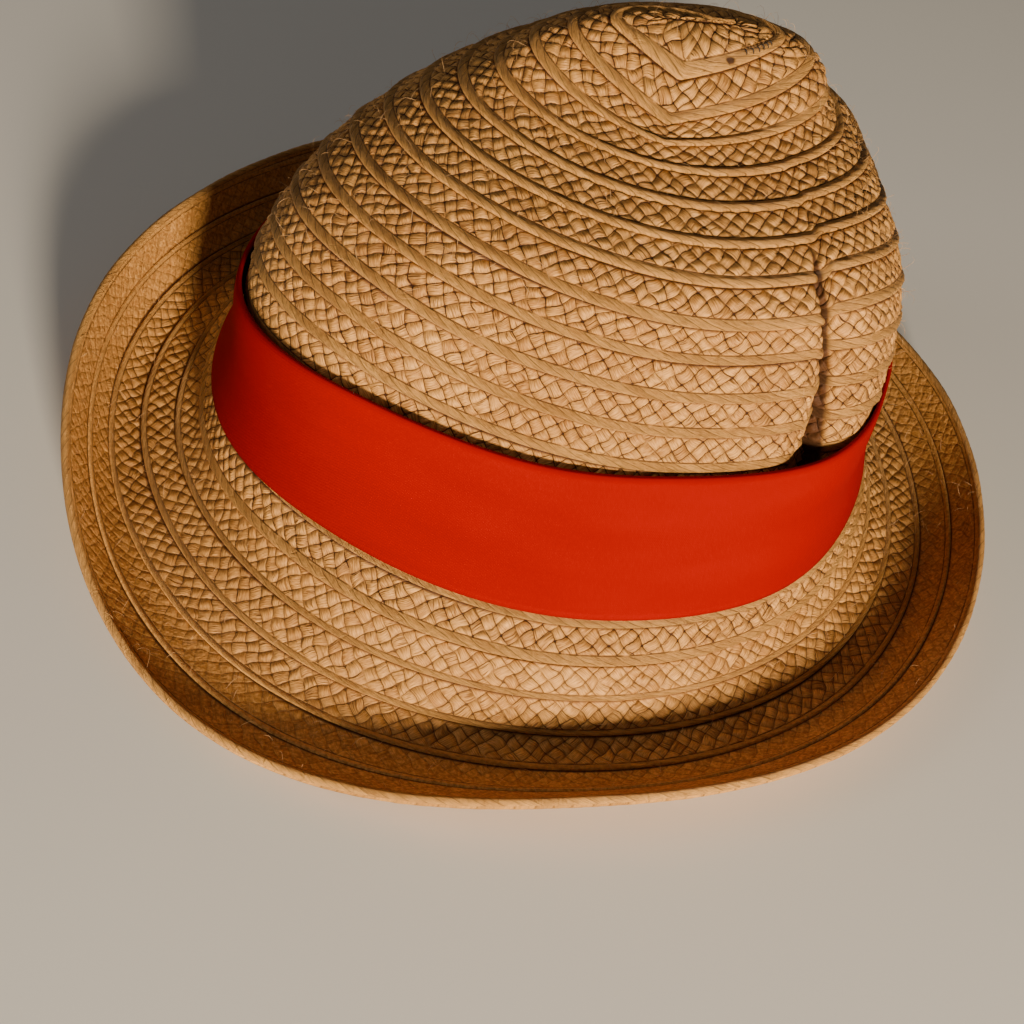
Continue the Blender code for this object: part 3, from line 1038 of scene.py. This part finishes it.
def floor_finish():
    """A plain pale matt floor with a trace of tone."""
    finish = Finish("stage_floor")
    tone = finish.noise(finish.place(), 6.0, 3.0)
    finish.paint(finish.mix(tone, colour([0.80, 0.79, 0.77]), colour([0.84, 0.83, 0.81])),
                 0.85 + 0.05 * tone)
    return finish.material


def under_band(share, length):
    """How far the braid keeps its height on the crown: it lies flat where the band covers it."""
    up = (1.0 - share) * length
    low = BAND_FOOT - 1.0 * MM
    high = BAND_FOOT + BAND_HEIGHT + 0.5 * MM
    covered = smooth(low - 2.0 * MM, low, up) * (1.0 - smooth(high, high + 3.0 * MM, up))
    return 1.0 - 0.85 * covered


def flat_brim(share, length):
    """The braid of the brim is pressed lower than that of the crown."""
    return np.full_like(share, BRIM_HEIGHT_SHARE)


def unpressed(share):
    """The plait keeps its chips everywhere."""
    return np.zeros_like(share)


def pressed_rim(share):
    """The plait is pressed flat on the climb to the rim."""
    return smooth(*PRESS_SHARES, share)


def liner(surface, depth, rings, columns, top):
    """The inner face of a wall: the form moved in by its thickness. It starts at the share top
    and comes back out to the form at its last ring."""
    shares = np.concatenate([np.linspace(top, 1.0, rings), [1.0]])[:, None]
    turn = angles_round(columns)[None, :]
    point, normal = surface.at(shares + np.zeros_like(turn), turn + np.zeros_like(shares))
    deep = np.full(shares.shape, depth)
    deep[-1] = 0.0
    return point - deep[..., None] * normal


class HAT_OT_crown(bpy.types.Operator):
    """Winds the braid of the crown and lines it"""
    bl_idname = "hat.crown"
    bl_label = "Crown braid"

    def execute(self, context):
        sizes = context.scene.hat_sizes
        crown = hat_surfaces()[0]
        straw = straw_finish("hat_crown_straw", CORD_START, 1.0, 1.0)
        made = ribbon(
            crown, crown_line, EVEN_ROWS + LOW_ROWS, CROWN_CELLS, sizes.step, sizes.cord,
            CORD_START, 1.0, 1.0, under_band, unpressed, SEED)
        half = int(made[0].shape[1] * UPPER_SHARE)
        for name, part in (("crown_braid_upper", slice(0, half + 1)),
                           ("crown_braid_lower", slice(half, None))):
            piece = add_grid(name, *(values[:, part] for values in made))
            dress(piece, straw, "crown")
        inside = liner(crown, WALL, LINER_RINGS, LINER_COLUMNS, LINER_TOP)
        middle = inside[0].mean(axis=0)
        cap = np.repeat(middle[None, None, :], inside.shape[1], axis=1)
        inside = np.concatenate([cap, inside])
        chips, rows = LINER_CHIPS
        turn = np.broadcast_to(np.arange(LINER_COLUMNS) * chips, inside.shape[:2])
        ring = np.broadcast_to(np.arange(len(inside))[:, None] * rows, inside.shape[:2])
        lining = add_grid("crown_inside", inside[::-1], np.stack(
            [turn, ring, np.mod(ring, 2.0) * 0.35 + 0.05], axis=-1)[::-1], around=True)
        dress(lining, straw, "crown")
        return {"FINISHED"}


class HAT_OT_brim(bpy.types.Operator):
    """Winds the braid of the brim, over and under"""
    bl_idname = "hat.brim"
    bl_label = "Brim braid"

    def execute(self, context):
        sizes = context.scene.hat_sizes
        brim = hat_surfaces()[1]
        straw = straw_finish("hat_brim_straw", BRIM_CORD_START, 0.8, 0.9)
        made = ribbon(brim, brim_line, BRIM_ROWS, BRIM_CELLS, sizes.step, sizes.brim_cord,
                      BRIM_CORD_START, BRIM_CHIP, 1.0, flat_brim, pressed_rim, SEED + 20)
        top = add_grid("brim_braid", *made)
        dress(top, straw, "brim")
        relief = (sizes.lap + sizes.brim_cord * BRIM_RELIEF) * BRIM_HEIGHT_SHARE
        under = Surface(brim.points - (WALL - relief) * brim.normals, brim.folds)
        made = ribbon(under, brim_line, BRIM_ROWS, UNDER_CELLS, sizes.step * UNDER_STEP,
                      sizes.brim_cord, BRIM_CORD_START, UNDER_CHIP, -1.0, flat_brim, unpressed,
                      SEED + 40)
        below = add_grid("brim_underside", *(values[::-1] for values in made))
        dress(below, straw, "brim")
        middle = (brim.points[-1] + under.points[-1]) / 2.0 + RIM_LIFT * brim.normals[-1]
        edge = add_grid("brim_edge_cord", *edge_cord(middle, sizes), around=True, close=True)
        dress(edge, straw, "brim")
        return {"FINISHED"}


def edge_cord(middle, sizes):
    """The cord along the brim's edge, as rings round a closed line. Each ring is a circle whose
    radius swells on the slanted strands and wanders a little."""
    ahead = unit(np.roll(middle, -1, axis=0) - np.roll(middle, 1, axis=0))
    out = unit(np.cross(ahead, np.array([0.0, 0.0, 1.0])))
    rise = np.cross(out, ahead)
    steps = np.linalg.norm(np.roll(middle, -1, axis=0) - middle, axis=1)
    strands = round(steps.sum() / sizes.chip)
    along = (np.concatenate([[0.0], np.cumsum(steps)[:-1]]) / steps.sum() * strands)[None, :]
    angle = angles_round(RIM_SIDES)[:, None]
    place = np.abs(angle / math.pi - 1.0) * 2.0 - 1.0
    seam = np.abs(2.0 * np.mod(along - CORD_SLANT * place, 1.0) - 1.0)
    radius = RIM_CORD * (0.90 + 0.08 * (1.0 - seam ** 3) + 0.06 * np.sin(along * 0.9))
    points = (middle[None] + (radius * np.cos(angle))[..., None] * out[None]
              + (radius * np.sin(angle))[..., None] * rise[None])
    half = (1.0 - BRIM_CORD_START) / 2.0
    across = 1.0 - half + half * place * 0.9 + np.zeros_like(along)
    return points, np.stack([along + np.zeros_like(angle), across * 0.0, across], axis=-1)


def band_points(rings, columns):
    """The band as a closed loop of rings: up its inner face, over the top fold, down its outer
    face and back. It follows the crown as it would be without its pinches, leans on it at its
    foot, stands off at its top on one side and has long shallow creases."""
    crown = hat_surfaces(pinched=0.0, creased=0.0)[0]
    turn = angles_round(columns)[None, :]
    ups = np.linspace(0.0, 1.0, rings)[:, None]
    length = crown.length(turn)
    share = 1.0 - (BAND_FOOT + BAND_HEIGHT * ups) / length
    point, normal = crown.at(share, turn + np.zeros_like(ups))
    flat = unit(normal * np.array([1.0, 1.0, 0.0]))
    facing = (1.0 + np.cos(turn - math.radians(BAND_OPEN_AZIMUTH))) / 2.0
    keep = BAND_LEAST_SHARE + (1.0 - BAND_LEAST_SHARE) * facing ** BAND_FALLOFF
    off = BAND_CLEARANCE + BAND_STAND_OFF * ups * keep
    crease = waves(6, 1.1, SEED + 60)(turn * 2.0 + ups * 0.8) * np.sin(math.pi * ups * 2.3)
    off = off + BAND_CREASE * (1.0 + crease) * (0.3 + 0.7 * keep) * smooth(0.0, 0.3, ups)
    inner = point + off[..., None] * flat
    outer = inner + BAND_THICKNESS * flat
    along = length * 0.0 + turn * CROWN_WIDTH / 2.0 + np.zeros_like(ups)
    high = BAND_HEIGHT * ups + np.zeros_like(turn)
    return inner, outer, np.stack([along, high, np.zeros_like(high)], axis=-1)


class HAT_OT_band(bpy.types.Operator):
    """Lays the cloth band round the crown"""
    bl_idname = "hat.band"
    bl_label = "Cloth band"

    def execute(self, context):
        inner, outer, cloth = band_points(BAND_RINGS, BAND_COLUMNS)
        points = np.concatenate([inner, outer[::-1]])
        braid = np.concatenate([cloth, cloth[::-1]])
        band = add_grid("hatband_cloth", points, braid, around=True, close=True)
        ring = outer[len(outer) // 2]
        length = np.linalg.norm(ring - np.roll(ring, 1, axis=0), axis=1).sum()
        dress(band, cloth_finish(), "hatband")
        return {"FINISHED"}


class HAT_OT_fibres(bpy.types.Operator):
    """Scatters loose fibres over the straw"""
    bl_idname = "hat.fibres"
    bl_label = "Loose fibres"

    def execute(self, context):
        sizes = context.scene.hat_sizes
        random = np.random.default_rng(SEED + 80)
        crown, brim = hat_surfaces()
        count = sizes.fibres
        on_crown = random.random(count) < FIBRES_ON_CROWN
        turn = random.uniform(0.0, TURN, count)
        share = np.where(on_crown, np.sqrt(random.random(count)) * FIBRE_LOWEST,
                         random.random(count))
        foot, normal = crown.at(share, turn)
        foot_brim, normal_brim = brim.at(share, turn)
        foot = np.where(on_crown[:, None], foot, foot_brim)
        normal = np.where(on_crown[:, None], normal, normal_brim)
        foot = foot + normal * FIBRE_FOOT * MM
        side = random.normal(size=(count, 3))
        side = unit(side - (side * normal).sum(axis=1)[:, None] * normal)
        reach = random.uniform(*FIBRE_LENGTHS, count)[:, None] * MM
        lift = random.uniform(*FIBRE_LIFTS, count)[:, None] * reach
        parts = np.linspace(0.0, 1.0, FIBRE_RINGS)
        bend = np.sin(FIBRE_BEND * parts)[None, :, None]
        path = (foot[:, None, :] + side[:, None, :] * reach[:, None, :] * parts[None, :, None]
                + normal[:, None, :] * lift[:, None, :] * bend)
        wide = np.cross(side, normal)
        angles = angles_round(FIBRE_SIDES)[None, None, :, None]
        thick = sizes.fibre / 2.0 * (1.0 - FIBRE_TAPER * parts)
        ring = wide[:, None, None] * np.cos(angles) + normal[:, None, None] * np.sin(angles)
        piece = add_tubes("loose_fibres", path[:, :, None] + thick[None, :, None, None] * ring)
        dress(piece, fibre_finish(), None)
        return {"FINISHED"}


class HAT_OT_stitches(bpy.types.Operator):
    """Sews the start of the plait down with a few dark stitches"""
    bl_idname = "hat.stitches"
    bl_label = "Stitches at the start"

    def execute(self, context):
        crown = hat_surfaces()[0]
        azimuths = np.radians(np.linspace(*STITCH_AZIMUTHS, STITCHES))
        shares = np.full(STITCHES, STITCH_SHARE)
        middle, normal = crown.at(shares, azimuths)
        down = unit(crown.at(shares + STITCH_SHARE / 4.0, azimuths)[0] - middle)
        parts = np.linspace(0.0, 1.0, THREAD_RINGS)[None, :, None]
        path = (middle[:, None] + down[:, None] * STITCH_REACH * (2.0 * parts - 1.0)
                + normal[:, None] * STITCH_RISE * np.sin(math.pi * parts) ** 0.5)
        across = np.cross(down, normal)[:, None, None]
        angles = angles_round(THREAD_SIDES)[None, None, :, None]
        ring = across * np.cos(angles) + normal[:, None, None] * np.sin(angles)
        finish = Finish("hat_dark_thread")
        finish.paint(colour([0.030, 0.018, 0.012]), 0.7)
        dress(add_tubes("end_stitches", path[:, :, None] + THREAD * ring), finish.material, None)
        return {"FINISHED"}


class HAT_OT_stage(bpy.types.Operator):
    """Sets up the floor, the lamps and the camera"""
    bl_idname = "hat.stage"
    bl_label = "Floor, lamps and camera"

    def execute(self, context):
        stage = context.scene.hat_stage
        mesh = bpy.data.meshes.new("floor")
        half = FLOOR_HALF
        mesh.from_pydata([(-half, -half, 0), (half, -half, 0), (half, half, 0), (-half, half, 0)],
                         [], [(0, 1, 2, 3)])
        floor = add_object("floor", mesh)
        floor.data.materials.append(floor_finish())

        self.add_lamp("key_lamp", stage.key, *KEY_LAMP)
        self.add_lamp("back_lamp", stage.back, *BACK_LAMP)
        world = bpy.data.worlds.new("studio")
        context.scene.world = world
        world.use_nodes = True
        background = world.node_tree.nodes["Background"]
        background.inputs["Color"].default_value = FILL_COLOUR
        background.inputs["Strength"].default_value = stage.fill
        self.add_camera(stage)
        return {"FINISHED"}

    def add_lamp(self, name, power, place, size, tint):
        """A square soft lamp that looks at the hat."""
        data = bpy.data.lights.new(name, "AREA")
        data.energy = power
        data.size = size
        data.color = tint
        lamp = add_object(name, data)
        lamp.location = place
        aim = Vector(LAMP_TARGET) - Vector(place)
        lamp.rotation_euler = aim.to_track_quat("-Z", "Y").to_euler()

    def add_camera(self, stage):
        """The camera stands at a distance from a point over the middle of the hat, looks in one
        direction and down, is pitched down from that and rolled about its view."""
        azimuth = math.radians(stage.azimuth)
        elevation = math.radians(stage.elevation)
        ahead = Vector((math.cos(azimuth) * math.cos(elevation),
                        -math.sin(azimuth) * math.cos(elevation), -math.sin(elevation)))
        right = Vector((-math.sin(azimuth), -math.cos(azimuth), 0.0))
        up = right.cross(ahead)
        target = Vector((TARGET_ASIDE, 0.0, TARGET_HEIGHT))
        place = target - stage.distance * ahead
        pitch = math.radians(-stage.pitch)
        look = ahead * math.cos(pitch) + up * math.sin(pitch)
        top = up * math.cos(pitch) - ahead * math.sin(pitch)
        roll = math.radians(stage.roll)
        true_right = right * math.cos(roll) + top * math.sin(roll)
        true_up = top * math.cos(roll) - right * math.sin(roll)
        turned = Matrix((true_right, true_up, -look)).transposed()
        data = bpy.data.cameras.new("camera")
        data.lens = stage.lens
        data.sensor_width = 36.0
        camera = add_object("camera", data)
        camera.matrix_world = Matrix.Translation(place) @ turned.to_4x4()
        bpy.context.scene.camera = camera


class HAT_PT_panel(bpy.types.Panel):
    """Lists the sizes, the colours and the steps"""
    bl_idname = "HAT_PT_panel"
    bl_label = "Straw Fedora"
    bl_space_type = "VIEW_3D"
    bl_region_type = "UI"
    bl_category = "Straw Fedora"

    def draw(self, context):
        for group in (context.scene.hat_sizes, context.scene.hat_colours, context.scene.hat_stage):
            box = self.layout.box()
            for name in group.__annotations__:
                box.prop(group, name)
        for step in STEPS:
            self.layout.operator(step.bl_idname)


GROUPS = {"hat_sizes": HatSizes, "hat_colours": HatColours, "hat_stage": HatStage}
STEPS = (HAT_OT_crown, HAT_OT_brim, HAT_OT_band, HAT_OT_fibres, HAT_OT_stitches, HAT_OT_stage)


def register():
    """Makes the settings, the steps and the panel known to Blender."""
    for kind in (*GROUPS.values(), *STEPS, HAT_PT_panel):
        bpy.utils.register_class(kind)
    for name, kind in GROUPS.items():
        setattr(bpy.types.Scene, name, bpy.props.PointerProperty(type=kind))


def unregister():
    """Takes them away again."""
    for name in GROUPS:
        delattr(bpy.types.Scene, name)
    for kind in (HAT_PT_panel, *STEPS, *GROUPS.values()):
        bpy.utils.unregister_class(kind)


def main():
    """Registers the add-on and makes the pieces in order."""
    register()
    bpy.ops.hat.crown()
    bpy.ops.hat.brim()
    bpy.ops.hat.band()
    bpy.ops.hat.fibres()
    bpy.ops.hat.stitches()
    bpy.ops.hat.stage()


if __name__ == "__main__":
    main()
